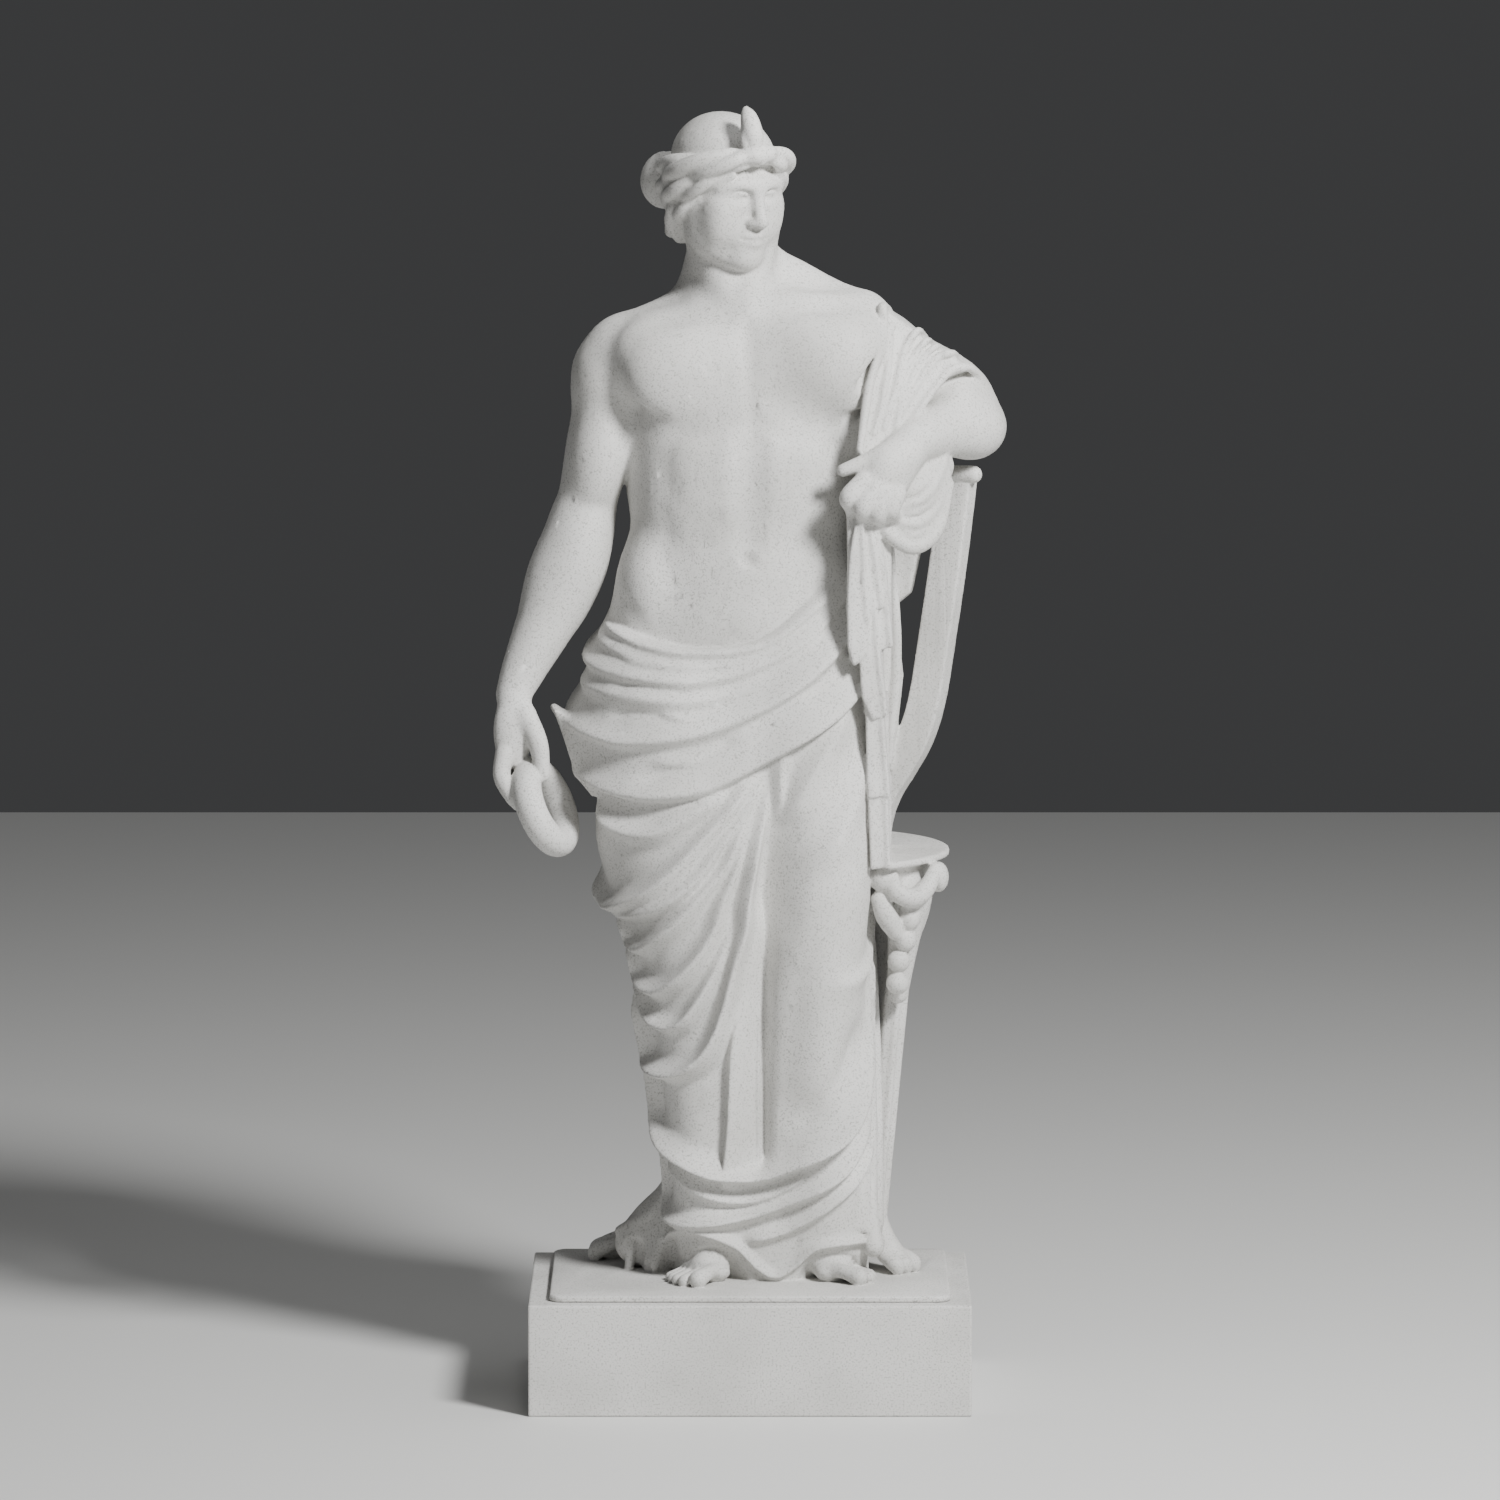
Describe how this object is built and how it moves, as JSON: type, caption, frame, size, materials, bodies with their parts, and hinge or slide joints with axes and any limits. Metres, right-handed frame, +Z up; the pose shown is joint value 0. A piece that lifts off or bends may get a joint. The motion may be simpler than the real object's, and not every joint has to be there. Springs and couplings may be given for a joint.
{
  "type": "greek god statue",
  "caption": "Life-size standing draped god in carved stone, leaning on a tripod and lyre, on a plain rectangular plinth block.",
  "frame": {"origin": "centre of the plinth's underside", "axes": "+Z up, +X to the viewer's right as the figure faces the viewer, +Y away from the viewer"},
  "size_m": [0.7901, 0.5664, 1.9919],
  "materials": {
    "statue": "fine-grained white marble, rubbed matt",
    "plinth": "fine-grained white marble, rubbed matt"
  },
  "bodies": {
    "root": {"statue": "statue", "plinth": "plinth"}
  },
  "joints": []
}
